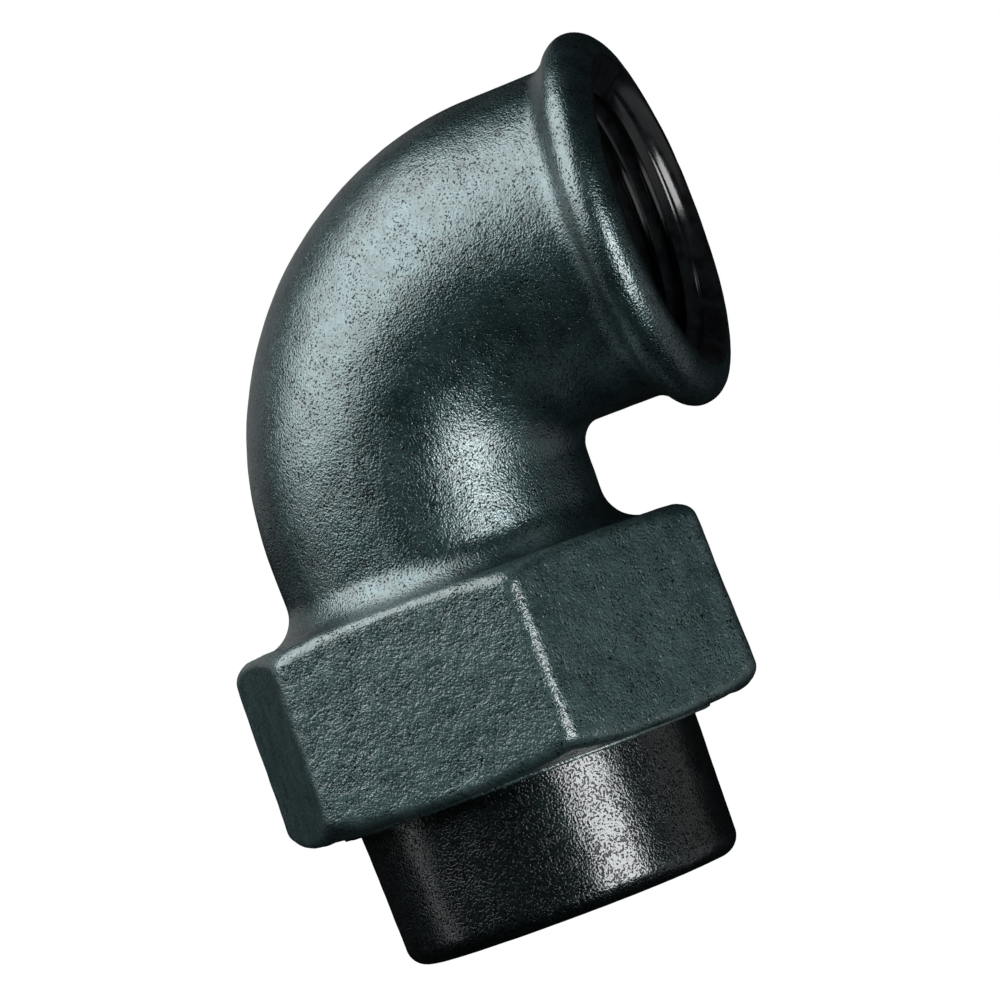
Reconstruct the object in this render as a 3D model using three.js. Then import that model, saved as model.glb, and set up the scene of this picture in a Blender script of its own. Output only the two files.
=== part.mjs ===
// A 90 degree union elbow, one inch, female at both ends, with a flat gasket seat.
// Lengths are in millimetres.  While the pieces are built, the origin is where the axes of the
// two ports cross: the branch port looks along +X and the leg with the union runs down -Z.
// At the end the assembly is lifted so that it stands on the origin.
import * as THREE from 'three';

const TURN = 2 * Math.PI;

// Pipe threads of eleven turns to the inch, Whitworth form.
const PITCH = 25.4 / 11;
const THREAD_DEPTH = 0.640327 * PITCH;
const PORT_MAJOR = 33.249 / 2;
const PORT_MINOR = PORT_MAJOR - THREAD_DEPTH;
const UNION_MAJOR = 47.803 / 2;
const UNION_MINOR = UNION_MAJOR - THREAD_DEPTH;
const THREAD_ALLOWANCE = 0.18;
// Along one turn, as parts of the pitch: where the profile bends and how far out it is there.
const THREAD_FORM = [[-5 / 12, 0], [-1 / 12, 1], [1 / 12, 1], [5 / 12, 0]];

// Elbow casting.
const BRANCH_FACE = 38;
const BEND_RADIUS = 22.5;
const BRANCH_TUBE_RADIUS = 19.9;
const LEG_TUBE_RADIUS = 19.5;
const BEAD_RADIUS = 22.7;
const BEAD_HALF_WIDTH = 3.05;
const BEAD_ROUNDING = 3.6;
const BEAD_FILLET_MIDDLE = 6.7;
const BEAD_FILLET_RISE = 0.4;
const BEAD_FILLET_END = 8;
const PORT_MOUTH_RADIUS = 18.25;
const PORT_THREAD_LENGTH = 17;
const BORE_RADIUS = 15.1;
const BORE_BEND_RADIUS = 21;
const SHOULDER_RADIUS = 23.8;
const SHOULDER_TOP = 31.95;
const FLARE_RADIUS = SHOULDER_RADIUS - LEG_TUBE_RADIUS;
const UNION_THREAD_START = 33.3;
const UNION_FACE = 44.5;
const SEAT_BORE_RADIUS = 16;
const SEAT_BORE_TAPER = 3;

// Gasket.
const GASKET_THICKNESS = 2;
const GASKET_RADIUS = 22;
const FACE_GAP = 0.05;

// Tail piece.
const COLLAR_TOP = UNION_FACE + GASKET_THICKNESS + FACE_GAP;
const COLLAR_BOTTOM = 50.95;
const COLLAR_RADIUS = 22.2;
const COLLAR_CHAMFER = 0.5;
const TAIL_RADIUS = 20.75;
const TAIL_FOOT_RADIUS = 20.25;
const TAIL_END = 72;
const TAIL_ROUNDING = 2.4;
const TAIL_MOUTH_RADIUS = 17.25;
const TAIL_THREAD_LENGTH = 18;

// Union nut.
const NUT_TOP = SHOULDER_TOP;
const NUT_BOTTOM = 55.05;
const NUT_MIDDLE = (NUT_TOP + NUT_BOTTOM) / 2;
const NUT_HALF_ACROSS_FLATS = 26.45;
// Half-way along the nut.  The flats move out by this much for each millimetre towards the foot.
const NUT_DRAFT = 0.0222;
const NUT_CORNER_RADIUS = 2.4;
const NUT_EDGE_ROUNDING = 2.2;
// Each end falls away by this much times the square of the distance from its flat middle.
const NUT_CROWN = 0.0325;
const NUT_FIRST_CORNER = THREE.MathUtils.degToRad(3.94);
const NUT_MOUTH_RADIUS = 24.6;
const NUT_MOUTH_DEPTH = 1.5;
const NUT_THREAD_END = 47;
const NUT_FLOOR = COLLAR_BOTTOM + FACE_GAP;
const NUT_HOLE_RADIUS = 21.1;
const NUT_LIP_RADIUS = 22.6;
const NUT_LIP_HEIGHT = 0.35;

const ROUND_COLUMNS = 36;

function castIron(roughness) {
  return new THREE.MeshStandardMaterial({ color: 0x2f3637, roughness, metalness: 0.6 });
}

function gasketFibre() {
  return new THREE.MeshStandardMaterial({ color: 0x4a5a4c, roughness: 0.9, metalness: 0 });
}

// Points of an arc in an outline: [along, radius], turned from one angle to another.
function arc(centre, radii, from, to, steps) {
  return Array.from({ length: steps + 1 }, (_, i) => {
    const angle = THREE.MathUtils.degToRad(from + ((to - from) * i) / steps);
    return [centre[0] + radii[0] * Math.sin(angle), centre[1] + radii[1] * Math.cos(angle)];
  });
}

// Evenly spaced points between two ends, each [along, radius].
function evenSteps(from, to, steps) {
  return Array.from({ length: steps + 1 }, (_, i) =>
    [0, 1].map((axis) => THREE.MathUtils.lerp(from[axis], to[axis], i / steps)),
  );
}

// The thread as one column of its outline.  Each column is a little further along than the
// last, by one pitch in a full turn, which makes the helix; it starts and runs out gradually.
function threadOutline(angle, start, end, startRadius, endRadius, minor, major) {
  const rows = [];
  const lead = PITCH / 2;
  for (let turn = Math.floor(start / PITCH) - 1; turn <= Math.ceil(end / PITCH); turn += 1) {
    for (const [offset, height] of THREAD_FORM) {
      const along = THREE.MathUtils.clamp(PITCH * (turn + angle / TURN + offset), start, end);
      const cutIn = Math.min((along - start) / lead, 1);
      const runOut = Math.min((end - along) / lead, 1);
      const full = THREE.MathUtils.lerp(minor, major, height);
      const begun = THREE.MathUtils.lerp(startRadius, full, cutIn);
      rows.push([along, THREE.MathUtils.lerp(endRadius, begun, runOut)]);
    }
  }
  return rows;
}

// A point at an angle round the line down the middle of the elbow.  Distances along it equal
// depths below the crossing of the axes once it runs straight down the leg.
function roundSpine([along, radius], angle, bend) {
  const lean = THREE.MathUtils.clamp((bend - along) / bend, 0, Math.PI / 2);
  const outward = new THREE.Vector3(-Math.cos(lean), 0, Math.sin(lean));
  const point = new THREE.Vector3(bend, 0, -bend).addScaledVector(outward, bend);
  point.z -= Math.max(along - bend, 0);
  point.x += Math.max(bend - (bend * Math.PI) / 2 - along, 0);
  point.addScaledVector(outward, radius * Math.cos(angle));
  point.y += radius * Math.sin(angle);
  return point;
}

function faceAlong(bend) {
  return bend - (bend * Math.PI) / 2 - (BRANCH_FACE - bend);
}

function evenAngles(count) {
  return Array.from({ length: count + 1 }, (_, i) => (TURN * i) / count);
}

// Joins closed outlines, one at each angle, into one closed skin.  Points that fall on each
// other become one, and the triangles that vanish with them are left out.
function skin(angles, outlineAt) {
  const positions = [];
  const numbers = new Map();
  const numberOf = (point) => {
    const key = point.toArray().map((value) => Math.round(value * 1e5)).join();
    if (!numbers.has(key)) {
      numbers.set(key, numbers.size);
      positions.push(...point.toArray());
    }
    return numbers.get(key);
  };
  const columns = angles.map((angle) => outlineAt(angle).map(numberOf));
  const index = [];
  const addTriangle = (a, b, c) => {
    if (a !== b && b !== c && c !== a) index.push(a, b, c);
  };
  for (let i = 0; i + 1 < columns.length; i += 1) {
    const here = columns[i];
    const beyond = columns[i + 1];
    here.forEach((corner, j) => {
      const k = (j + 1) % here.length;
      addTriangle(corner, beyond[k], here[k]);
      addTriangle(corner, beyond[j], beyond[k]);
    });
  }
  const geometry = new THREE.BufferGeometry();
  geometry.setAttribute('position', new THREE.Float32BufferAttribute(positions, 3));
  geometry.setIndex(index);
  geometry.computeVertexNormals();
  return geometry;
}

function piece(name, geometry, material) {
  const mesh = new THREE.Mesh(geometry, material);
  mesh.name = name;
  return mesh;
}

function elbowOutside(angle) {
  const face = faceAlong(BEND_RADIUS);
  const filletEnd = face + BEAD_FILLET_END;
  const flareStart = SHOULDER_TOP - FLARE_RADIUS;
  const beadCentre = [face + BEAD_HALF_WIDTH, BEAD_RADIUS - BEAD_ROUNDING];
  return [
    [face, PORT_MOUTH_RADIUS],
    ...arc(beadCentre, [BEAD_HALF_WIDTH, BEAD_ROUNDING], -90, 55, 7),
    [face + BEAD_FILLET_MIDDLE, BRANCH_TUBE_RADIUS + BEAD_FILLET_RISE],
    ...evenSteps([filletEnd, BRANCH_TUBE_RADIUS], [flareStart, LEG_TUBE_RADIUS], 13).slice(0, -1),
    ...arc([flareStart, SHOULDER_RADIUS], [FLARE_RADIUS, -FLARE_RADIUS], 0, 90, 4),
    ...threadOutline(
      angle,
      UNION_THREAD_START,
      UNION_FACE,
      SHOULDER_RADIUS,
      UNION_MINOR - THREAD_ALLOWANCE,
      UNION_MINOR - THREAD_ALLOWANCE,
      UNION_MAJOR - THREAD_ALLOWANCE,
    ),
  ];
}

function elbowInside(angle) {
  const face = faceAlong(BORE_BEND_RADIUS);
  const threadStart = face + PORT_MOUTH_RADIUS - PORT_MAJOR;
  const threadEnd = face + PORT_THREAD_LENGTH;
  return [
    [UNION_FACE, SEAT_BORE_RADIUS],
    [UNION_FACE - SEAT_BORE_TAPER, BORE_RADIUS],
    ...evenSteps([BORE_BEND_RADIUS, BORE_RADIUS], [threadEnd, BORE_RADIUS], 8),
    ...threadOutline(
      angle,
      threadStart,
      threadEnd,
      PORT_MAJOR,
      BORE_RADIUS,
      PORT_MINOR,
      PORT_MAJOR,
    ).reverse(),
  ];
}

function elbowBody() {
  const outlineAt = (angle) => [
    ...elbowOutside(angle).map((row) => roundSpine(row, angle, BEND_RADIUS)),
    ...elbowInside(angle).map((row) => roundSpine(row, angle, BORE_BEND_RADIUS)),
  ];
  return piece('elbow_body', skin(evenAngles(ROUND_COLUMNS), outlineAt), castIron(0.62));
}

// How far an end of the nut has fallen away at a radius.
function crown(radius, flatRadius) {
  return NUT_CROWN * (radius - flatRadius) ** 2;
}

// Distance from the axis to the outside of the nut: a hexagon with rounded corners.
function hexagonRadius(angle, inset) {
  const sixth = TURN / 6;
  const corner = NUT_CORNER_RADIUS - inset / 2;
  const centre = (NUT_HALF_ACROSS_FLATS - inset - corner) / Math.cos(sixth / 2);
  const fromCorner = Math.abs(THREE.MathUtils.euclideanModulo(angle + sixth / 2, sixth) - sixth / 2);
  const touch = Math.atan2(corner / 2, centre + corner * Math.cos(sixth / 2));
  if (fromCorner >= touch) {
    return (NUT_HALF_ACROSS_FLATS - inset) / Math.cos(sixth / 2 - fromCorner);
  }
  const across = centre * Math.sin(fromCorner);
  return centre * Math.cos(fromCorner) + Math.sqrt(corner ** 2 - across ** 2);
}

// Columns crowd at the corners of the hexagon and are spread over its flats.
function nutAngles() {
  const withinSixth = [-2.3, -1.15, 0, 1.15, 2.3, 10.5, 20, 30, 40, 49.5];
  const angles = [];
  for (let side = 0; side < 6; side += 1) {
    for (const step of withinSixth) {
      angles.push(NUT_FIRST_CORNER + THREE.MathUtils.degToRad(side * 60 + step));
    }
  }
  angles.push(angles[0] + TURN);
  return angles;
}

// The flats lean out towards the foot, which is the draft of the casting.
function nutOutline(angle) {
  const fromCorner = angle - NUT_FIRST_CORNER;
  const edgeRadius = hexagonRadius(fromCorner, NUT_EDGE_ROUNDING);
  const edge = (centre, from, to) =>
    arc([centre, 0], [NUT_EDGE_ROUNDING, NUT_EDGE_ROUNDING], from, to, 4).map(([along, reach]) => [
      along,
      hexagonRadius(fromCorner, NUT_EDGE_ROUNDING - reach - NUT_DRAFT * (along - NUT_MIDDLE)),
    ]);
  return [
    [NUT_TOP, NUT_MOUTH_RADIUS],
    ...edge(NUT_TOP + crown(edgeRadius, NUT_MOUTH_RADIUS) + NUT_EDGE_ROUNDING, -90, 0),
    ...edge(NUT_BOTTOM - crown(edgeRadius, NUT_LIP_RADIUS) - NUT_EDGE_ROUNDING, 0, 90),
    [NUT_BOTTOM, NUT_LIP_RADIUS],
    [NUT_BOTTOM + NUT_LIP_HEIGHT, NUT_LIP_RADIUS - NUT_LIP_HEIGHT / 2],
    [NUT_BOTTOM + NUT_LIP_HEIGHT, NUT_HOLE_RADIUS],
    [NUT_FLOOR, NUT_HOLE_RADIUS],
    [NUT_FLOOR, UNION_MAJOR + THREAD_ALLOWANCE],
    ...threadOutline(
      angle,
      NUT_TOP + NUT_MOUTH_DEPTH,
      NUT_THREAD_END,
      UNION_MAJOR + THREAD_ALLOWANCE,
      UNION_MAJOR + THREAD_ALLOWANCE,
      UNION_MINOR + THREAD_ALLOWANCE,
      UNION_MAJOR + THREAD_ALLOWANCE,
    ).reverse(),
  ];
}

function unionNut() {
  const outlineAt = (angle) => nutOutline(angle).map((row) => roundSpine(row, angle, BEND_RADIUS));
  return piece('union_nut', skin(nutAngles(), outlineAt), castIron(0.58));
}

function tailOutline(angle) {
  const rounding = [TAIL_ROUNDING, TAIL_ROUNDING];
  return [
    [COLLAR_TOP, COLLAR_RADIUS - COLLAR_CHAMFER],
    [COLLAR_TOP + COLLAR_CHAMFER, COLLAR_RADIUS],
    [COLLAR_BOTTOM - COLLAR_CHAMFER, COLLAR_RADIUS],
    [COLLAR_BOTTOM, COLLAR_RADIUS - COLLAR_CHAMFER],
    [COLLAR_BOTTOM, TAIL_RADIUS],
    ...arc([TAIL_END - TAIL_ROUNDING, TAIL_FOOT_RADIUS - TAIL_ROUNDING], rounding, 0, 90, 5),
    [TAIL_END, TAIL_MOUTH_RADIUS],
    ...threadOutline(
      angle,
      TAIL_END - TAIL_THREAD_LENGTH,
      TAIL_END - (TAIL_MOUTH_RADIUS - PORT_MAJOR),
      BORE_RADIUS,
      PORT_MAJOR,
      PORT_MINOR,
      PORT_MAJOR,
    ).reverse(),
    [COLLAR_TOP + SEAT_BORE_TAPER, BORE_RADIUS],
    [COLLAR_TOP, SEAT_BORE_RADIUS],
  ];
}

function tailPiece() {
  const outlineAt = (angle) => tailOutline(angle).map((row) => roundSpine(row, angle, BEND_RADIUS));
  return piece('tail_piece', skin(evenAngles(ROUND_COLUMNS), outlineAt), castIron(0.62));
}

function flatGasket() {
  const top = UNION_FACE + FACE_GAP;
  const bottom = COLLAR_TOP - FACE_GAP;
  const outline = [
    [top, SEAT_BORE_RADIUS],
    [top, GASKET_RADIUS],
    [bottom, GASKET_RADIUS],
    [bottom, SEAT_BORE_RADIUS],
  ];
  const outlineAt = (angle) => outline.map((row) => roundSpine(row, angle, BEND_RADIUS));
  return piece('flat_gasket', skin(evenAngles(ROUND_COLUMNS), outlineAt), gasketFibre());
}

// Puts the middle of the footprint on the origin, at the foot of the tail piece.
function standOnOrigin(assembly) {
  const box = new THREE.Box3().setFromObject(assembly);
  const middle = box.getCenter(new THREE.Vector3());
  const shift = new THREE.Vector3(-middle.x, -middle.y, -box.min.z);
  assembly.children.forEach((mesh) => mesh.geometry.translate(shift.x, shift.y, shift.z));
  return assembly;
}

const unionElbow = new THREE.Group();
unionElbow.name = 'union_elbow';
unionElbow.add(elbowBody(), unionNut(), flatGasket(), tailPiece());

export default standOnOrigin(unionElbow);
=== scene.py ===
"""A one inch union elbow in black malleable cast iron: its looks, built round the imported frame.

The four pieces are rebuilt with fine meshes: closed outlines turned round the axis of the leg or
carried round the bend, with the screw threads cut as helices and the cast skin made uneven.
Outlines are lists of [distance along the axis, radius] in millimetres.  Distances are counted
down the leg from the point where the axes of the two ports cross.
"""

import math

import bpy
import numpy as np
from mathutils import Matrix, Vector, noise


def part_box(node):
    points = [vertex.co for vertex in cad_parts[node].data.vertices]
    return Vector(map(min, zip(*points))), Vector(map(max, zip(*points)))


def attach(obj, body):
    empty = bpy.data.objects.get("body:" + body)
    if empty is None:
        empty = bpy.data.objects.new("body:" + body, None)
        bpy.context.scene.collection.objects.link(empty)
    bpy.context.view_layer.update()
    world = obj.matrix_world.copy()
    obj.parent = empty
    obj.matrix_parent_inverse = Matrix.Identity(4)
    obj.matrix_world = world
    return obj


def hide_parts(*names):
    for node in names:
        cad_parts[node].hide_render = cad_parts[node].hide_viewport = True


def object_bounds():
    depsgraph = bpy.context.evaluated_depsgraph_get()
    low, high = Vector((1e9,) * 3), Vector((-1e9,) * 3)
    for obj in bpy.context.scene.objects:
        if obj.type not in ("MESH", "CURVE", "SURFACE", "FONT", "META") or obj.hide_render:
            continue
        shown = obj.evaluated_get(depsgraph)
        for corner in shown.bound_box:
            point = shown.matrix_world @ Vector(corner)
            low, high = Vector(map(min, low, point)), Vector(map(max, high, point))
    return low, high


MM = 0.001
TURN = 2 * math.pi

# Pipe threads of eleven turns to the inch.
PITCH = 25.4 / 11
THREAD_DEPTH = 0.640327 * PITCH
PORT_MAJOR = 33.249 / 2
PORT_MINOR = PORT_MAJOR - THREAD_DEPTH
UNION_MAJOR = 47.803 / 2
UNION_MINOR = UNION_MAJOR - THREAD_DEPTH
THREAD_ALLOWANCE = 0.18
THREAD_STEEPNESS = 1.45

# Casting of the elbow.  BEAD_STOP and FLARE_STOP are where an arc ends, in degrees.
BEND_RADIUS = 22.5
BRANCH_TUBE_RADIUS = 19.9
LEG_TUBE_RADIUS = 19.5
BEAD_RADIUS = 22.7
BEAD_HALF_WIDTH = 3.05
BEAD_ROUNDING = 3.6
BEAD_STOP = 55
BEAD_FILLET_END = 8.0
MOUTH_RADIUS = 18.25
PORT_THREAD_LENGTH = 17.0
BORE_RADIUS = 15.1
BORE_BEND_RADIUS = 21.0
SHOULDER_RADIUS = 23.8
SHOULDER_EDGE = 0.3
SHOULDER_LAND = 1.0
FLARE_RADIUS = SHOULDER_RADIUS - LEG_TUBE_RADIUS
FLARE_STOP = 84
SEAT_BORE_RADIUS = 16.0
SEAT_BORE_TAPER = 3.0

# Tail piece.
COLLAR_HEIGHT = 4.4
COLLAR_RADIUS = 22.2
COLLAR_CHAMFER = 0.5
TAIL_RADIUS = 20.75
TAIL_FOOT_RADIUS = 20.25
TAIL_ROUNDING = 2.4
TAIL_MOUTH_RADIUS = 17.25
TAIL_THREAD_LENGTH = 18.0

# Union nut.
NUT_HALF_ACROSS_FLATS = 26.45
NUT_DRAFT = 0.0222
NUT_CORNER_RADIUS = 2.4
NUT_EDGE_ROUNDING = 2.2
NUT_FLAT_ROUNDING = 1.1
NUT_CROWN = 0.0325
NUT_FIRST_CORNER = math.radians(3.94)
NUT_MOUTH_RADIUS = 24.6
NUT_MOUTH_DEPTH = 1.5
NUT_THREAD_LENGTH = 13.2
NUT_LIP_RADIUS = 22.6
NUT_LIP_HEIGHT = 0.35
NUT_HOLE_RADIUS = 21.1
NUT_FLOOR_GAP = 0.05
NUT_CHAMFER = 0.2
NUT_MOUTH_CHAMFER_DEPTH = 0.3

GASKET_EDGE = 0.15

# Gaps between the last row of cut metal and the first row of cast skin.
FACE_GAP = 0.05
BORE_GAP = 1.0
COLLAR_GAP = 0.3

# Fineness of the meshes: steps in millimetres, the nut's span and margin of columns in degrees.
SKIN_STEP = 0.45
BORE_STEP = 1.2
GASKET_STEP = 1.0
ROUND_COLUMNS = 280
ROWS_PER_TURN = 8
NUT_CORNER_COLUMNS = 13
NUT_CORNER_SPAN = 2.4
NUT_FLAT_COLUMNS = 44
NUT_FLAT_MARGIN = 3.1
MERGE_DIGITS = 4
SHARP_ANGLE = math.radians(50)

# The uneven cast skin: sizes, heights and seed steps in millimetres, wear's two limits in 1/mm.
WAVE_SIZE = 11
WAVE_HEIGHT = 0.10
SWELL_SIZE = 3.1
SWELL_SHARE = 0.55
LUMP_SIZE = 1.35
LUMP_SHARE = 0.45
SEED_STEPS = (17.3, 5.1, 29.7)
WEAR_START = 0.12
WEAR_RANGE = 0.35

# Grain of the materials: sizes and depths in millimetres.
COARSE_GRAIN = 0.85
SAND_GRAIN = 0.27
PIT_PATCHES = 3.5
PIT_DEPTH = 0.02
STAIN_SIZE = 2.5
SCRATCH_SIZE = 0.2
SCRATCH_DEPTH = 0.008
FIBRE_SIZE = 0.4
FIBRE_DEPTH = 0.04
FLECK_SPACING = 0.9

# Pits lie where a noise is low: how far that limit shifts from patch to patch, and how far above
# it a pit fades out.
PIT_CROWDING = 0.06
PIT_EDGE = 0.08

# Gloss and wear of the materials.
SCALE_METALLIC = 0.9
SKIN_ROUGHNESS_RANGE = 0.06
FILM_IOR = 2.15
FILM_WEIGHT = 0.72
FILM_WEIGHT_IN_PITS = 0.12
WORN_SHARE = 0.5
CUT_SPECULAR = 0.85

# Colours, as linear red, green and blue.
ELBOW_DARK = (0.018, 0.045, 0.05)
ELBOW_LIGHT = (0.075, 0.138, 0.148)
NUT_DARK = (0.022, 0.055, 0.06)
NUT_LIGHT = (0.092, 0.158, 0.165)
# The tail's colours are darker than the elbow's and the nut's: painted shade, for the shadow the nut casts
# on the tail.
TAIL_PAINTED_SHADE_DARK = (0.0025, 0.007, 0.008)
TAIL_PAINTED_SHADE_LIGHT = (0.015, 0.028, 0.03)
IRON_WORN = (0.15, 0.2, 0.21)
PIT_BLACK = (0.0025, 0.004, 0.005)
# The cut metal's near-black colours are painted shade, standing in for the dark inside the bore and
# threads.
CUT_PAINTED_SHADE_DARK = (0.0025, 0.0025, 0.0035)
CUT_PAINTED_SHADE_LIGHT = (0.0075, 0.01, 0.011)
FIBRE_DARK = (0.035, 0.06, 0.04)
FIBRE_LIGHT = (0.075, 0.11, 0.07)
FLECK_PALE = (0.16, 0.17, 0.12)
FLOOR_DARK = (0.02, 0.02, 0.02)
FLOOR_LIGHT = (0.03, 0.03, 0.03)
WHITE = (1, 1, 1, 1)

# Camera: angles round, up and about its own line of sight, its distance from the crossing of the
# axes, how wide a stretch the frame takes in at that distance, and how far the middle of the frame
# lies to the right of the crossing and below it.  Lengths are in millimetres, apart from the
# nearest and furthest distance that it sees, in metres.
CAMERA_AZIMUTH = math.radians(15.1)
CAMERA_ELEVATION = math.radians(-3.2)
CAMERA_ROLL = math.radians(20.42)
CAMERA_DISTANCE = 705.0
VIEW_WIDTH = 116.009
AIM_RIGHT = 16.1253
AIM_DOWN = 20.1972
SENSOR = 36.0
NEAREST_SEEN = 0.05
FURTHEST_SEEN = 20

# Softboxes: degrees round from the camera, left being negative, degrees up, metres from the
# object, metres wide and high, and watts.
SOFTBOXES = {
    "left_softbox": dict(azimuth=-64, elevation=47, distance=0.7, width=0.86, height=1.0, power=8.0),
    "right_softbox": dict(azimuth=36, elevation=-14.5, distance=0.7, width=0.38, height=0.44, power=3.3),
    "back_softbox": dict(azimuth=-150, elevation=20, distance=0.9, width=0.9, height=0.5, power=0.3),
    "side_softbox": dict(azimuth=98, elevation=-25, distance=0.9, width=0.7, height=0.8, power=0.35),
    "low_strip": dict(azimuth=-93, elevation=1, distance=0.7, width=0.12, height=0.5, power=0.12),
}

# The floor's radius in metres, and how finely it is divided.
FLOOR_REACH = 3.0
FLOOR_RINGS = 24
FLOOR_SPOKES = 64

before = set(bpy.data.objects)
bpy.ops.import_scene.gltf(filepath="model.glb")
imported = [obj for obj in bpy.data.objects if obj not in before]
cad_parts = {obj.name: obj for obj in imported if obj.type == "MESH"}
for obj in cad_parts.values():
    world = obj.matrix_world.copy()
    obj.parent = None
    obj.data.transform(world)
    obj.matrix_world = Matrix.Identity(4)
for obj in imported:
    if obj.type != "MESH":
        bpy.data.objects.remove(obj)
cad_low, cad_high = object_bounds()
elbow_low, elbow_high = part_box("elbow_body")
nut_low, nut_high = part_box("union_nut")
tail_low, tail_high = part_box("tail_piece")
gasket_low, gasket_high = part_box("flat_gasket")

leg_centre = (tail_low + tail_high) / 2
crossing = Vector((leg_centre.x, leg_centre.y, elbow_high.z - BEAD_RADIUS * MM))


def depth_of(height):
    """Distance down the leg, in millimetres, of a height in the frame."""
    return (crossing.z - height) / MM


BRANCH_FACE = (elbow_high.x - crossing.x) / MM
UNION_FACE = depth_of(elbow_low.z)
NUT_TOP = depth_of(nut_high.z)
NUT_LIP = depth_of(nut_low.z)
NUT_BOTTOM = NUT_LIP - NUT_LIP_HEIGHT
NUT_MIDDLE = (NUT_TOP + NUT_BOTTOM) / 2
GASKET_TOP = depth_of(gasket_high.z)
GASKET_BOTTOM = depth_of(gasket_low.z)
COLLAR_TOP = depth_of(tail_high.z)
COLLAR_BOTTOM = COLLAR_TOP + COLLAR_HEIGHT
TAIL_END = depth_of(tail_low.z)
NUT_FLOOR = COLLAR_BOTTOM + NUT_FLOOR_GAP
SHOULDER_TOP = NUT_TOP
UNION_THREAD_START = SHOULDER_TOP + SHOULDER_LAND


# ---------------------------------------------------------------- outlines

def arc(centre, radii, start, stop, steps):
    """Points of an elliptic arc: angle 0 is outward, 90 is further along the axis."""
    angles = np.radians(np.linspace(start, stop, steps + 1))
    return np.stack(
        [centre[0] + radii[0] * np.sin(angles), centre[1] + radii[1] * np.cos(angles)], -1
    )


def fine(*corners, step=SKIN_STEP):
    """A polyline through the corners with points no further apart than step."""
    points = [np.array(corners[0], float)]
    for start, stop in zip(corners[:-1], corners[1:]):
        start, stop = np.array(start, float), np.array(stop, float)
        pieces = max(1, math.ceil(np.linalg.norm(stop - start) / step))
        points += [start + (stop - start) * i / pieces for i in range(1, pieces + 1)]
    return np.array(points)


def thread(angles, start, end, start_radius, end_radius, minor, major):
    """Rows of a thread, one set for each angle.  Each column lies a little further along than the
    one before, by one pitch in a full turn, and the thread starts and runs out over half a pitch."""
    turns = np.arange(math.floor(start / PITCH) - 1, math.ceil(end / PITCH) + 1)
    offsets = (turns[:, None] + np.arange(ROWS_PER_TURN)[None, :] / ROWS_PER_TURN).ravel()
    phase = angles[:, None] / TURN
    from_crest = np.abs(offsets - np.round(offsets))
    slope = np.clip(THREAD_STEEPNESS * (1 - 4 * from_crest), -math.pi / 2, math.pi / 2)
    height = 0.5 + 0.5 * np.sin(slope)
    along = np.clip(PITCH * (offsets[None, :] + phase), start, end)
    full = minor + (major - minor) * height[None, :]
    cut_in = np.clip((along - start) / (PITCH / 2), 0, 1)
    run_out = np.clip((end - along) / (PITCH / 2), 0, 1)
    begun = start_radius + (full - start_radius) * cut_in
    return np.stack([along, end_radius + (begun - end_radius) * run_out], -1)


def round_spine(rows, angles, bend):
    """Places rows round the line down the middle of the elbow, straight, bent and straight."""
    along, radius = rows[..., 0], rows[..., 1]
    lean = np.clip((bend - along) / bend, 0, math.pi / 2)
    out_x, out_z = -np.cos(lean), np.sin(lean)
    x = bend + bend * out_x + np.maximum(bend - bend * math.pi / 2 - along, 0)
    z = -bend + bend * out_z - np.maximum(along - bend, 0)
    across = radius * np.cos(angles)[:, None]
    sideways = radius * np.sin(angles)[:, None]
    return np.stack([x + out_x * across, sideways, z + out_z * across], -1)


def face_along(bend):
    """Where the branch's face lies along a line that bends with that radius."""
    return bend - bend * math.pi / 2 - (BRANCH_FACE - bend)


def everywhere(rows, angles):
    """The same rows at each angle."""
    return np.broadcast_to(rows, (len(angles),) + rows.shape)


# ---------------------------------------------------------------- meshes

CAST, CUT = 0, 1


def skin(name, columns, finish):
    """A closed mesh from columns of points, and which of its points are cast skin.  finish is each
    row's, CAST or CUT; points that fall on each other become one."""
    count, rows = columns.shape[:2]
    flat = columns.reshape(-1, 3)
    _, first, number = np.unique(
        np.round(flat, MERGE_DIGITS), axis=0, return_index=True, return_inverse=True
    )
    number = number.reshape(count, rows)
    vertices = np.array(crossing) + flat[first] * MM
    faces, finishes = [], []
    for column in range(count - 1):
        here, beyond = number[column], number[column + 1]
        for row in range(rows):
            after = (row + 1) % rows
            corners = (here[row], beyond[row], beyond[after], here[after])
            kept = [c for c, before in zip(corners, corners[-1:] + corners[:-1]) if c != before]
            if len(kept) > 2:
                faces.append([int(c) for c in kept])
                finishes.append(max(finish[row], finish[after]))
    mesh = bpy.data.meshes.new(name)
    mesh.from_pydata(vertices.tolist(), [], faces)
    mesh.polygons.foreach_set("material_index", finishes)
    mesh.update()
    cast = np.ones(len(first), bool)
    for face, kind in zip(faces, finishes):
        if kind == CUT:
            cast[face] = False
    return mesh, cast


def add_values(mesh, name, values):
    """Stores one number for each point, for the materials to read by name."""
    attribute = mesh.attributes.new(name, "FLOAT", "POINT")
    attribute.data.foreach_set("value", values.astype(np.float32))


def read_points(mesh):
    """Each point's place, in metres."""
    points = np.zeros(len(mesh.vertices) * 3)
    mesh.vertices.foreach_get("co", points)
    return points.reshape(-1, 3)


def read_normals(mesh):
    """Each point's outward direction."""
    normals = np.zeros(len(mesh.vertices) * 3, np.float32)
    mesh.vertex_normals.foreach_get("vector", normals)
    return normals.reshape(-1, 3).astype(float)


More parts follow.
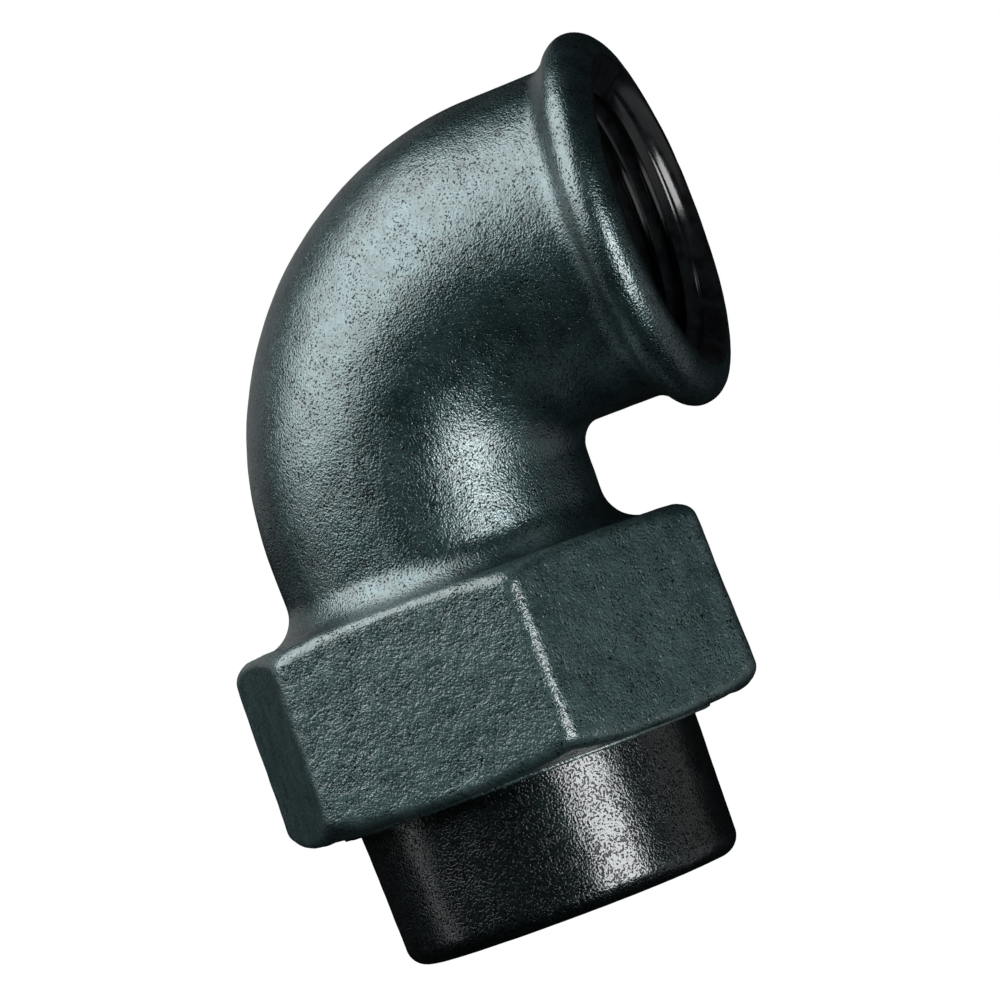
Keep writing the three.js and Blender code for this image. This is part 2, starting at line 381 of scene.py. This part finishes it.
def convexity(mesh):
    """How sharply each point sticks out, in 1/mm: high along edges, negative in hollows."""
    points, normals = read_points(mesh) / MM, read_normals(mesh)
    ends = np.zeros(len(mesh.edges) * 2, np.int32)
    mesh.edges.foreach_get("vertices", ends)
    ends = ends.reshape(-1, 2)
    total, shares = np.zeros(len(points)), np.zeros(len(points))
    for a, b in ((ends[:, 0], ends[:, 1]), (ends[:, 1], ends[:, 0])):
        step = points[b] - points[a]
        fall = -(step * normals[a]).sum(1) / np.maximum((step ** 2).sum(1), 1e-6)
        np.add.at(total, a, fall)
        np.add.at(shares, a, 1)
    return 2 * total / np.maximum(shares, 1)


def weather(mesh, cast, lumps, seed):
    """Makes the cast skin uneven, and keeps how high its lumps are and how worn it is."""
    sharpness = convexity(mesh)
    points, normals = read_points(mesh), read_normals(mesh)
    shift = Vector([seed * step for step in SEED_STEPS])
    waves, relief = np.zeros(len(points)), np.zeros(len(points))
    for i in np.nonzero(cast)[0]:
        place = Vector(points[i]) / MM + shift
        waves[i] = WAVE_HEIGHT * noise.noise(place / WAVE_SIZE)
        swell = noise.noise(place / SWELL_SIZE)
        lump = noise.noise(place / LUMP_SIZE)
        relief[i] = SWELL_SHARE * swell + LUMP_SHARE * lump
    moved = points + normals * (waves + lumps * relief)[:, None] * MM
    mesh.vertices.foreach_set("co", moved.ravel())
    mesh.update()
    add_values(mesh, "relief", relief)
    wear = np.clip((sharpness - WEAR_START) / WEAR_RANGE, 0, 1)
    add_values(mesh, "wear", wear * cast)


def show(mesh, name, node, body, materials):
    """Adds the finished mesh as the piece that stands for one CAD node."""
    mesh.shade_smooth()
    mesh.set_sharp_from_angle(angle=SHARP_ANGLE)
    piece = bpy.data.objects.new(name, mesh)
    bpy.context.scene.collection.objects.link(piece)
    for material in materials:
        mesh.materials.append(material)
    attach(piece, body)
    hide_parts(node)


def round_angles():
    """Evenly spread columns for a round piece, the last one on top of the first."""
    return np.linspace(0, TURN, ROUND_COLUMNS + 1)


def rows_of(sections, angles):
    """Joins sections, each (rows, finish), into one array of rows per angle and a finish list."""
    rows, finish = [], []
    for section, kind in sections:
        section = section if section.ndim == 3 else everywhere(section, angles)
        rows.append(section)
        finish += [kind] * section.shape[1]
    return np.concatenate(rows, 1), finish


# ---------------------------------------------------------------- pieces

def elbow_mesh():
    """The casting: ring face, bead, bend, flared shoulder and union thread outside, then the seat,
    the bore and the port's thread inside."""
    angles = round_angles()
    face = face_along(BEND_RADIUS)
    flare_start = SHOULDER_TOP - FLARE_RADIUS
    bead_centre = [face + BEAD_HALF_WIDTH, BEAD_RADIUS - BEAD_ROUNDING]
    bead = arc(bead_centre, [BEAD_HALF_WIDTH, BEAD_ROUNDING], -90, BEAD_STOP, steps=22)
    bead_foot = bead[-1]
    fillet_end = face + BEAD_FILLET_END
    share = np.linspace(1, 0, 9)[1:, None]
    fillet = np.concatenate(
        [
            fillet_end + (bead_foot[0] - fillet_end) * share,
            BRANCH_TUBE_RADIUS + (bead_foot[1] - BRANCH_TUBE_RADIUS) * share ** 2,
        ],
        1,
    )
    flare_centre = [flare_start, SHOULDER_RADIUS]
    flare = arc(flare_centre, [FLARE_RADIUS, -FLARE_RADIUS], 0, FLARE_STOP, steps=16)
    crest = UNION_MAJOR - THREAD_ALLOWANCE
    root = UNION_MINOR - THREAD_ALLOWANCE
    shoulder = [[SHOULDER_TOP + SHOULDER_EDGE, SHOULDER_RADIUS], [UNION_THREAD_START, crest]]
    outside, outside_finish = rows_of(
        [
            (fine([face, MOUTH_RADIUS], [face, bead_centre[1] - FACE_GAP]), CUT),
            (bead, CAST),
            (fillet, CAST),
            (fine([fillet_end, BRANCH_TUBE_RADIUS], [flare_start, LEG_TUBE_RADIUS])[1:-1], CAST),
            (flare, CAST),
            (np.array(shoulder), CUT),
            (thread(angles, UNION_THREAD_START, UNION_FACE, crest, root, root, crest), CUT),
        ],
        angles,
    )
    bore_face = face_along(BORE_BEND_RADIUS)
    thread_start = bore_face + MOUTH_RADIUS - PORT_MAJOR
    thread_end = bore_face + PORT_THREAD_LENGTH
    seat_end = UNION_FACE - SEAT_BORE_TAPER
    seat = [[UNION_FACE, SEAT_BORE_RADIUS], [seat_end, BORE_RADIUS]]
    bore_start = [seat_end - BORE_GAP, BORE_RADIUS]
    bore_end = [thread_end + BORE_GAP, BORE_RADIUS]
    port_thread = thread(
        angles, thread_start, thread_end, PORT_MAJOR, BORE_RADIUS, PORT_MINOR, PORT_MAJOR
    )
    inside, inside_finish = rows_of(
        [
            (np.array(seat), CUT),
            (fine(bore_start, bore_end, step=BORE_STEP), CAST),
            (port_thread[:, ::-1], CUT),
        ],
        angles,
    )
    columns = np.concatenate(
        [
            round_spine(outside, angles, BEND_RADIUS),
            round_spine(inside, angles, BORE_BEND_RADIUS),
        ],
        1,
    )
    return skin("elbow", columns, outside_finish + inside_finish)


def nut_angles():
    """Columns crowd at the corners of the hexagon and are spread evenly over its flats."""
    corner = np.linspace(-NUT_CORNER_SPAN, NUT_CORNER_SPAN, NUT_CORNER_COLUMNS)
    flat = np.linspace(NUT_FLAT_MARGIN, 60 - NUT_FLAT_MARGIN, NUT_FLAT_COLUMNS)
    sixth = np.radians(np.concatenate([corner, flat]))
    sides = [sixth + side * TURN / 6 for side in range(6)]
    angles = np.concatenate(sides) + NUT_FIRST_CORNER
    return np.append(angles, angles[0] + TURN)


def hexagon(angles, inset):
    """Distance from the axis to the outside of the nut's hexagon, which has rounded corners and
    whose flats lie that inset nearer to the axis."""
    sixth = TURN / 6
    corner = NUT_CORNER_RADIUS - inset / 2
    centre = (NUT_HALF_ACROSS_FLATS - inset - corner) / math.cos(sixth / 2)
    off = np.abs((angles - NUT_FIRST_CORNER + sixth / 2) % sixth - sixth / 2)
    touch = np.arctan2(corner / 2, centre + corner * math.cos(sixth / 2))
    side = (NUT_HALF_ACROSS_FLATS - inset) / np.cos(sixth / 2 - off)
    across = np.minimum(centre * np.sin(off), corner)
    rounded = centre * np.cos(off) + np.sqrt(corner ** 2 - across ** 2)
    return np.where(off >= touch, side, rounded)


def nut_sides(angles):
    """Rows down the outside of the nut: over its top edge, down its wall and over its bottom edge.
    The edges are rounded more at the corners than along the flats."""
    edge = hexagon(angles, NUT_EDGE_ROUNDING)[:, None]
    cornerness = (edge - edge.min()) / (edge.max() - edge.min())
    rounding = NUT_FLAT_ROUNDING + (NUT_EDGE_ROUNDING - NUT_FLAT_ROUNDING) * cornerness
    turned = np.radians(np.linspace(0, 90, 10))
    drop = rounding * (1 - np.cos(turned))
    inset = rounding * (1 - np.sin(turned))
    share = np.linspace(0, 1, 41)[1:-1]
    top = NUT_TOP + NUT_CROWN * (edge - NUT_MOUTH_RADIUS) ** 2
    bottom = NUT_BOTTOM - NUT_CROWN * (edge - NUT_LIP_RADIUS) ** 2
    wall = top + rounding + (bottom - top - 2 * rounding) * share
    along = np.concatenate([top + drop, wall, (bottom - drop)[:, ::-1]], 1)
    insets = np.concatenate([inset, 0 * wall, inset[:, ::-1]], 1)
    drafted = insets - NUT_DRAFT * (along - NUT_MIDDLE)
    return np.stack([along, hexagon(angles[:, None], drafted)], -1)


def nut_end(depth, inner, outer, outward, steps):
    """Rows over a crowned end of the nut, between its flat middle and where its edge rounds off."""
    share = np.linspace(0, 1, steps + 1)[1:-1]
    radii = inner + (outer[:, None] - inner) * share
    return np.stack([depth + outward * NUT_CROWN * (radii - inner) ** 2, radii], -1)


def nut_mesh():
    """The union nut: its crowned ends and hexagon outside, then its hole, floor and thread."""
    angles = nut_angles()
    sides = nut_sides(angles)
    outer = sides[:, 0, 1]
    mouth_cut = [NUT_TOP + NUT_MOUTH_CHAMFER_DEPTH, NUT_MOUTH_RADIUS - NUT_CHAMFER]
    lip = NUT_LIP_RADIUS - NUT_LIP_HEIGHT / 2
    lip_edge = arc([NUT_BOTTOM, lip], [NUT_LIP_HEIGHT, NUT_LIP_RADIUS - lip], 0, 90, steps=4)
    root = UNION_MAJOR + THREAD_ALLOWANCE
    crest = UNION_MINOR + THREAD_ALLOWANCE
    hole = [[NUT_LIP - NUT_CHAMFER, NUT_HOLE_RADIUS], [NUT_FLOOR, NUT_HOLE_RADIUS], [NUT_FLOOR, root]]
    thread_start = NUT_TOP + NUT_MOUTH_DEPTH
    thread_end = thread_start + NUT_THREAD_LENGTH
    rows, finish = rows_of(
        [
            (np.array([mouth_cut]), CUT),
            (np.array([[NUT_TOP, NUT_MOUTH_RADIUS]]), CAST),
            (nut_end(NUT_TOP, NUT_MOUTH_RADIUS, outer, outward=1, steps=8), CAST),
            (sides, CAST),
            (nut_end(NUT_BOTTOM, NUT_LIP_RADIUS, outer, outward=-1, steps=10)[:, ::-1], CAST),
            (lip_edge, CAST),
            (np.array([[NUT_LIP, NUT_HOLE_RADIUS + NUT_CHAMFER]]), CAST),
            (np.array(hole), CUT),
            (thread(angles, thread_start, thread_end, root, root, crest, root)[:, ::-1], CUT),
        ],
        angles,
    )
    return skin("nut", round_spine(rows, angles, BEND_RADIUS), finish)


def tail_mesh():
    """The tail piece: collar, round outside and rounded foot, then the port's thread inside."""
    angles = round_angles()
    collar = [
        [COLLAR_TOP, SEAT_BORE_RADIUS],
        [COLLAR_TOP, COLLAR_RADIUS - COLLAR_CHAMFER],
        [COLLAR_TOP + COLLAR_CHAMFER, COLLAR_RADIUS],
        [COLLAR_BOTTOM - COLLAR_CHAMFER, COLLAR_RADIUS],
        [COLLAR_BOTTOM, COLLAR_RADIUS - COLLAR_CHAMFER],
        [COLLAR_BOTTOM, TAIL_RADIUS],
    ]
    foot_centre = [TAIL_END - TAIL_ROUNDING, TAIL_FOOT_RADIUS - TAIL_ROUNDING]
    foot = arc(foot_centre, [TAIL_ROUNDING, TAIL_ROUNDING], 0, 90, steps=12)
    thread_start = TAIL_END - TAIL_THREAD_LENGTH
    thread_end = TAIL_END - (TAIL_MOUTH_RADIUS - PORT_MAJOR)
    port_thread = thread(
        angles, thread_start, thread_end, BORE_RADIUS, PORT_MAJOR, PORT_MINOR, PORT_MAJOR
    )
    rows, finish = rows_of(
        [
            (np.array(collar), CUT),
            (fine([COLLAR_BOTTOM + COLLAR_GAP, TAIL_RADIUS], foot[0])[:-1], CAST),
            (foot, CAST),
            (np.array([[TAIL_END, TAIL_MOUTH_RADIUS]]), CUT),
            (port_thread[:, ::-1], CUT),
            (np.array([[COLLAR_TOP + SEAT_BORE_TAPER, BORE_RADIUS]]), CUT),
        ],
        angles,
    )
    return skin("tail", round_spine(rows, angles, BEND_RADIUS), finish)


def gasket_mesh():
    """The gasket: a flat ring with its edges just broken."""
    angles = round_angles()
    outer = (gasket_high.x - gasket_low.x) / 2 / MM
    inner = SEAT_BORE_RADIUS
    edge = GASKET_EDGE
    outline = fine(
        [GASKET_TOP, inner + edge],
        [GASKET_TOP, outer - edge],
        [GASKET_TOP + edge, outer],
        [GASKET_BOTTOM - edge, outer],
        [GASKET_BOTTOM, outer - edge],
        [GASKET_BOTTOM, inner + edge],
        [GASKET_BOTTOM - edge, inner],
        [GASKET_TOP + edge, inner],
        step=GASKET_STEP,
    )
    rows, finish = rows_of([(outline, CAST)], angles)
    return skin("gasket", round_spine(rows, angles, BEND_RADIUS), finish)


# ---------------------------------------------------------------- materials

class Shader:
    """A material's node tree, with short ways to add and join its nodes."""

    def __init__(self, name):
        self.material = bpy.data.materials.new(name)
        self.material.use_nodes = True
        self.nodes = self.material.node_tree.nodes
        self.links = self.material.node_tree.links
        self.surface = self.nodes["Principled BSDF"]
        self.place = self.nodes.new("ShaderNodeTexCoord").outputs["Object"]

    def join(self, source, target):
        self.links.new(source, target)

    def noise(self, size_mm, detail=2.0, roughness=0.5):
        node = self.nodes.new("ShaderNodeTexNoise")
        node.inputs["Scale"].default_value = 1 / (size_mm * MM)
        node.inputs["Detail"].default_value = detail
        node.inputs["Roughness"].default_value = roughness
        self.join(self.place, node.inputs["Vector"])
        return node.outputs["Fac"]

    def flecks(self, spacing_mm):
        """Distance to the nearest of many scattered points, in shares of their spacing."""
        node = self.nodes.new("ShaderNodeTexVoronoi")
        node.inputs["Scale"].default_value = 1 / (spacing_mm * MM)
        self.join(self.place, node.inputs["Vector"])
        return node.outputs["Distance"]

    def stored(self, name):
        """A number that add_values stored for each point."""
        node = self.nodes.new("ShaderNodeAttribute")
        node.attribute_name = name
        return node.outputs["Fac"]

    def spread(self, source, low, high, to_low=0, to_high=1):
        """Maps the stretch from low to high onto the one from to_low to to_high, and no further."""
        node = self.nodes.new("ShaderNodeMapRange")
        for socket, number in zip(node.inputs[1:5], (low, high, to_low, to_high)):
            socket.default_value = number
        self.join(source, node.inputs["Value"])
        return node.outputs["Result"]

    def math(self, kind, first, second):
        node = self.nodes.new("ShaderNodeMath")
        node.operation = kind
        for socket, source in zip(node.inputs, (first, second)):
            if isinstance(source, (int, float)):
                socket.default_value = source
            else:
                self.join(source, socket)
        return node.outputs["Value"]

    def weighted(self, share, first, second):
        """That share of the first value and the rest of the second."""
        part = self.math("MULTIPLY", first, share)
        rest = self.math("MULTIPLY", second, 1 - share)
        return self.math("ADD", part, rest)

    def blend(self, share, first, second):
        """The first colour where share is 0, the second where it is 1."""
        node = self.nodes.new("ShaderNodeMix")
        node.data_type = "RGBA"
        self.join(share, node.inputs["Factor"])
        for socket, source in zip(node.inputs[6:8], (first, second)):
            if isinstance(source, tuple):
                socket.default_value = (*source, 1)
            else:
                self.join(source, socket)
        return node.outputs[2]

    def bump(self, height, depth_mm, strength=1.0, normal=None):
        """A normal bent by the height, on top of the one it is given."""
        node = self.nodes.new("ShaderNodeBump")
        node.inputs["Distance"].default_value = depth_mm * MM
        node.inputs["Strength"].default_value = strength
        self.join(height, node.inputs["Height"])
        if normal is not None:
            self.join(normal, node.inputs["Normal"])
        return node.outputs["Normal"]

    def set(self, name, number):
        """Sets one of the surface's sockets to the same number all over."""
        self.surface.inputs[name].default_value = number

    def feed(self, name, source):
        """Joins one of the surface's sockets to a source that varies."""
        self.join(source, self.surface.inputs[name])


def cast_skin(name, dark, light, rough, gloss, grain_mm, lump_mm, pitted):
    """Black scale on sand-cast iron: a dull teal-black skin of sand grain with small dark pits,
    under a thin glossy film.  rough is the skin's roughness and gloss the film's, grain_mm and
    lump_mm are the depths of the sand grain and of the coarser lumps, and a higher pitted gives
    more pits."""
    shader = Shader(name)
    coarse = shader.noise(COARSE_GRAIN, detail=3, roughness=0.6)
    sand = shader.noise(SAND_GRAIN, detail=1.5, roughness=0.6)
    patches = shader.noise(PIT_PATCHES, detail=4, roughness=0.65)
    crowding = shader.spread(patches, 0.35, 0.65, -PIT_CROWDING, PIT_CROWDING)
    specks = shader.math("SUBTRACT", shader.noise(SAND_GRAIN, detail=1, roughness=0.5), crowding)
    clear = shader.spread(specks, pitted - PIT_EDGE, pitted)
    relief = shader.spread(shader.stored("relief"), -0.6, 0.6)
    # The colour is darker in the hollows of the cast lumps and lighter on their tops: painted shade and
    # painted light, mixed with the sand grain's random tone.
    tone = shader.weighted(0.75, shader.weighted(0.75, sand, coarse), relief)
    scuffs = shader.math("MULTIPLY", shader.stored("wear"), shader.spread(coarse, 0.42, 0.62))
    skin_colour = shader.blend(shader.spread(tone, 0.36, 0.64), dark, light)
    skin_colour = shader.blend(shader.math("MULTIPLY", scuffs, WORN_SHARE), skin_colour, IRON_WORN)
    smoother, rougher = rough - SKIN_ROUGHNESS_RANGE, rough + SKIN_ROUGHNESS_RANGE
    normal = shader.bump(clear, PIT_DEPTH, strength=0.6)
    normal = shader.bump(coarse, lump_mm, normal=normal)
    normal = shader.bump(sand, grain_mm, normal=normal)
    shader.feed("Base Color", shader.blend(clear, PIT_BLACK, skin_colour))
    shader.feed("Roughness", shader.spread(coarse, 0.3, 0.7, rougher, smoother))
    shader.feed("Coat Weight", shader.spread(clear, 0, 1, FILM_WEIGHT_IN_PITS, FILM_WEIGHT))
    shader.feed("Normal", normal)
    shader.feed("Coat Normal", normal)
    shader.set("Metallic", SCALE_METALLIC)
    shader.set("Coat Roughness", gloss)
    shader.set("Coat IOR", FILM_IOR)
    return shader.material


def cut_metal(name):
    """Threads and faces cut after casting, with fine turning marks; their near-black colour is painted
    shade.
    """
    shader = Shader(name)
    stain = shader.noise(STAIN_SIZE, detail=4, roughness=0.6)
    scratch = shader.noise(SCRATCH_SIZE, detail=2, roughness=0.5)
    shader.feed("Base Color", shader.blend(shader.spread(stain, 0.35, 0.65), CUT_PAINTED_SHADE_DARK, CUT_PAINTED_SHADE_LIGHT))
    shader.feed("Roughness", shader.spread(stain, 0.3, 0.7, 0.14, 0.24))
    shader.feed("Normal", shader.bump(scratch, SCRATCH_DEPTH))
    shader.set("Specular IOR Level", CUT_SPECULAR)
    return shader.material


def gasket_fibre(name):
    """Pressed fibre sheet with its short fibres and pale flecks."""
    shader = Shader(name)
    fibres = shader.noise(FIBRE_SIZE, detail=4, roughness=0.7)
    base = shader.blend(shader.spread(fibres, 0.35, 0.65), FIBRE_DARK, FIBRE_LIGHT)
    between = shader.spread(shader.flecks(FLECK_SPACING), 0.05, 0.2)
    shader.feed("Base Color", shader.blend(between, FLECK_PALE, base))
    shader.feed("Roughness", shader.spread(fibres, 0.3, 0.7, 0.75, 0.95))
    shader.feed("Normal", shader.bump(fibres, FIBRE_DEPTH))
    return shader.material


def pale_floor(name):
    """A plain floor that glows white, so that light and shadow barely show on it."""
    shader = Shader(name)
    grain = shader.noise(4, detail=3, roughness=0.5)
    shader.feed("Base Color", shader.blend(shader.spread(grain, 0.3, 0.7), FLOOR_DARK, FLOOR_LIGHT))
    shader.set("Roughness", 0.9)
    shader.set("Specular IOR Level", 0.1)
    shader.set("Emission Color", WHITE)
    shader.set("Emission Strength", 1.0)
    return shader.material


# ---------------------------------------------------------------- stage, lights, camera

def direction(azimuth, elevation):
    """The direction that lies azimuth round to the right of the front, and elevation up."""
    level = math.cos(elevation)
    return Vector((math.sin(azimuth) * level, -math.cos(azimuth) * level, math.sin(elevation)))


def camera_axes():
    """The camera's right and up, turned by its roll, and the way back from the elbow to it."""
    right = Vector((math.cos(CAMERA_AZIMUTH), math.sin(CAMERA_AZIMUTH), 0))
    back = direction(CAMERA_AZIMUTH, CAMERA_ELEVATION)
    up = back.cross(right)
    along, across = math.cos(CAMERA_ROLL), math.sin(CAMERA_ROLL)
    return right * along - up * across, right * across + up * along, back


def add_camera():
    right, up, back = camera_axes()
    data = bpy.data.cameras.new("camera")
    data.sensor_width = SENSOR
    data.lens = SENSOR * CAMERA_DISTANCE / VIEW_WIDTH
    data.clip_start = NEAREST_SEEN
    data.clip_end = FURTHEST_SEEN
    camera = bpy.data.objects.new("camera", data)
    bpy.context.scene.collection.objects.link(camera)
    camera.location = crossing + back * CAMERA_DISTANCE * MM
    aim = crossing + (right * AIM_RIGHT - up * AIM_DOWN) * MM
    toward = (camera.location - aim).normalized()
    side = up.cross(toward).normalized()
    turned = Matrix((side, toward.cross(side), toward)).transposed()
    camera.rotation_euler = turned.to_euler()
    bpy.context.scene.camera = camera


def add_softbox(name, azimuth, elevation, distance, width, height, power):
    """An area light aimed at the elbow, placed as SOFTBOXES says."""
    toward = direction(CAMERA_AZIMUTH + math.radians(azimuth), math.radians(elevation))
    data = bpy.data.lights.new(name, "AREA")
    data.shape = "RECTANGLE"
    data.size = width
    data.size_y = height
    data.energy = power
    light = bpy.data.objects.new(name, data)
    bpy.context.scene.collection.objects.link(light)
    light.visible_camera = False
    light.location = (cad_low + cad_high) / 2 + toward * distance
    light.rotation_euler = toward.to_track_quat("Z", "Y").to_euler()


def add_floor():
    """A round floor of rings of faces, which lie closer together towards the middle."""
    points = [(0, 0, 0)]
    for ring in range(1, FLOOR_RINGS + 1):
        radius = FLOOR_REACH * (ring / FLOOR_RINGS) ** 1.5
        for spoke in range(FLOOR_SPOKES):
            angle = TURN * spoke / FLOOR_SPOKES
            points.append((radius * math.cos(angle), radius * math.sin(angle), 0))
    faces = []
    for spoke in range(FLOOR_SPOKES):
        here, beside = 1 + spoke, 1 + (spoke + 1) % FLOOR_SPOKES
        faces.append((0, here, beside))
        for ring in range(FLOOR_RINGS - 1):
            inner = ring * FLOOR_SPOKES
            outer = inner + FLOOR_SPOKES
            faces.append((inner + here, outer + here, outer + beside, inner + beside))
    mesh = bpy.data.meshes.new("floor")
    mesh.from_pydata(points, [], faces)
    mesh.materials.append(pale_floor("pale_floor"))
    floor = bpy.data.objects.new("floor", mesh)
    floor.location.z = cad_low.z
    bpy.context.scene.collection.objects.link(floor)
    floor.visible_glossy = False
    floor.visible_diffuse = False
    floor.visible_shadow = False


def add_world(seen, scattered, mirrored):
    """The room: white behind the object, dimmer where the dark iron gathers or mirrors it."""
    world = bpy.data.worlds.new("studio")
    world.use_nodes = True
    nodes, links = world.node_tree.nodes, world.node_tree.links
    path = nodes.new("ShaderNodeLightPath")
    levels = {"Is Camera Ray": seen, "Is Diffuse Ray": scattered, "Is Glossy Ray": mirrored}
    total = None
    for ray, level in levels.items():
        share = nodes.new("ShaderNodeMath")
        share.operation = "MULTIPLY_ADD"
        share.inputs[1].default_value = level
        share.inputs[2].default_value = 0
        links.new(path.outputs[ray], share.inputs[0])
        if total is not None:
            links.new(total, share.inputs[2])
        total = share.outputs["Value"]
    nodes["Background"].inputs["Color"].default_value = WHITE
    links.new(total, nodes["Background"].inputs["Strength"])
    bpy.context.scene.world = world


# ---------------------------------------------------------------- assembly

elbow_skin = cast_skin(
    "elbow_skin", ELBOW_DARK, ELBOW_LIGHT, rough=0.38, gloss=0.14, grain_mm=0.08, lump_mm=0.05, pitted=0.38
)
nut_skin = cast_skin(
    "nut_skin", NUT_DARK, NUT_LIGHT, rough=0.58, gloss=0.15, grain_mm=0.075, lump_mm=0.12, pitted=0.38
)
# The tail's skin is darker as painted shade, for the shadow of the nut above it.
tail_skin_painted_shade = cast_skin(
    "tail_skin_painted_shade", TAIL_PAINTED_SHADE_DARK, TAIL_PAINTED_SHADE_LIGHT, rough=0.4, gloss=0.07, grain_mm=0.045, lump_mm=0.01, pitted=0.46
)
cut = cut_metal("cut_metal")
fibre = gasket_fibre("gasket_fibre")

mesh, cast = elbow_mesh()
weather(mesh, cast, lumps=0.05, seed=1)
show(mesh, "elbow_casting", "elbow_body", "elbow", [elbow_skin, cut])

mesh, cast = nut_mesh()
weather(mesh, cast, lumps=0.08, seed=2)
show(mesh, "nut_casting", "union_nut", "nut", [nut_skin, cut])

mesh, cast = tail_mesh()
weather(mesh, cast, lumps=0.04, seed=3)
show(mesh, "tail_casting", "tail_piece", "tail", [tail_skin_painted_shade, cut])

mesh, _ = gasket_mesh()
show(mesh, "gasket_ring", "flat_gasket", "gasket", [fibre])

add_camera()
for name, settings in SOFTBOXES.items():
    add_softbox(name, **settings)
add_floor()
add_world(seen=1.0, scattered=0.1, mirrored=0.004)
bpy.context.scene.view_settings.view_transform = "Standard"
